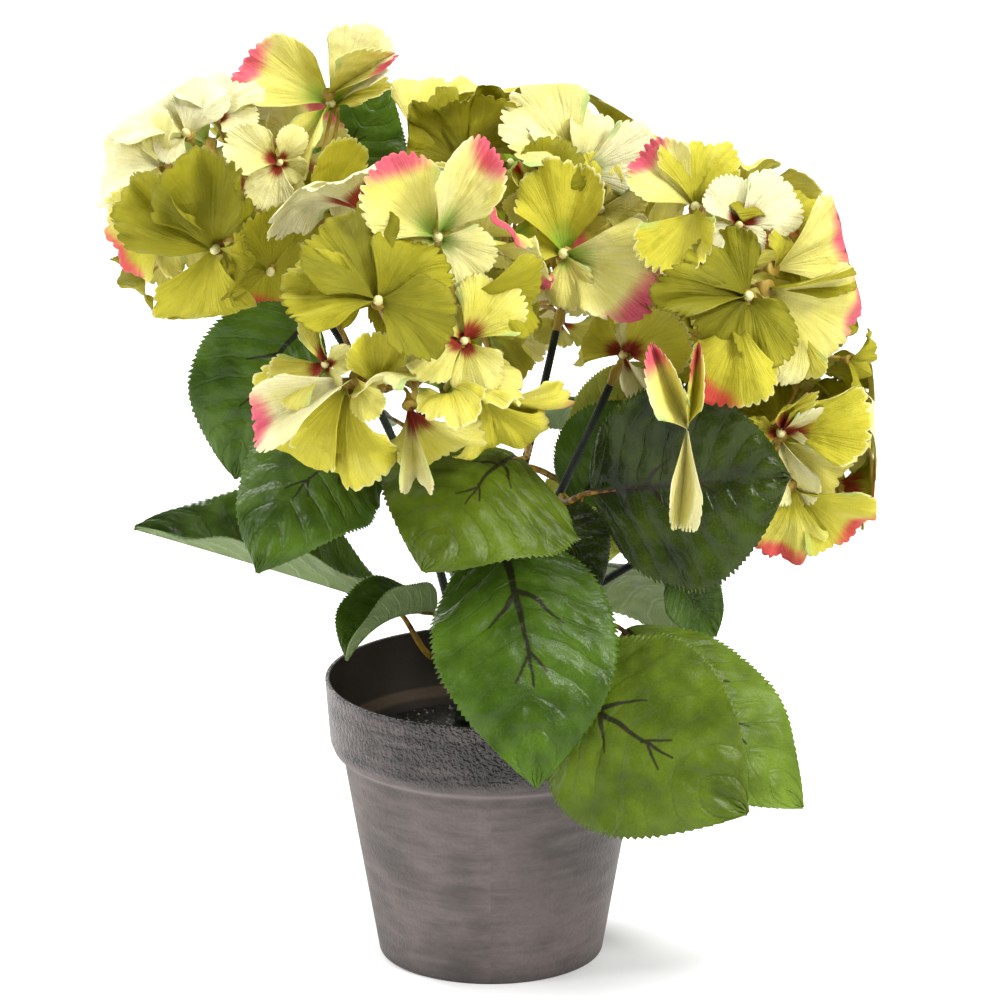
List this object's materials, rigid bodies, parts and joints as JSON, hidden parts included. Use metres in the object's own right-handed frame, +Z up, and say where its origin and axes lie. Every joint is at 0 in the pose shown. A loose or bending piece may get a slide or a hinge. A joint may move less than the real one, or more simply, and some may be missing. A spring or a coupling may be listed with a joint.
{
  "type": "artificial potted hydrangea",
  "caption": "Artificial hydrangea: round heads of four-petalled flowers over broad toothed leaves, on slim plastic stems that rise from a small tapered pot",
  "frame": {"origin": "the middle of the pot's flat underside", "axes": "+Z up, along the pot's own axis; -Y is the side that the plant's front faces, +X the viewer's right"},
  "size_m": [0.3113, 0.2722, 0.3832],
  "materials": {
    "pot": "grained, warm grey-brown with a worn charcoal wash",
    "filler": "rough, near black",
    "stem": "dark green, finely ribbed",
    "leaf": "coated cloth with printed veins and a soft sheen",
    "head": "cloth petals, yellow-green with pink tips"
  },
  "bodies": {
    "root": {"pot": "pot", "filler": "filler", "stalk": "stem", "stem_middle": "stem", "stem_right": "stem", "stem_low_right": "stem", "stem_front_left": "stem", "stem_left": "stem", "stem_back": "stem", "leaf_far_left": "leaf", "leaf_left_high": "leaf", "leaf_left": "leaf", "leaf_front": "leaf", "leaf_small_left": "leaf", "leaf_centre": "leaf", "leaf_centre_dark": "leaf", "leaf_low_right": "leaf", "leaf_right": "leaf", "leaf_right_dark": "leaf", "leaf_right_high": "leaf", "leaf_right_mid": "leaf", "leaf_right_small": "leaf", "leaf_pale": "leaf", "leaf_top": "leaf", "leaf_back": "leaf", "leaf_back_left": "leaf", "leaf_back_right": "leaf", "leaf_back_high": "leaf", "head_front_left": "head", "head_left": "head", "head_middle": "head", "head_right": "head", "head_low_right": "head", "head_back": "head"}
  },
  "joints": []
}
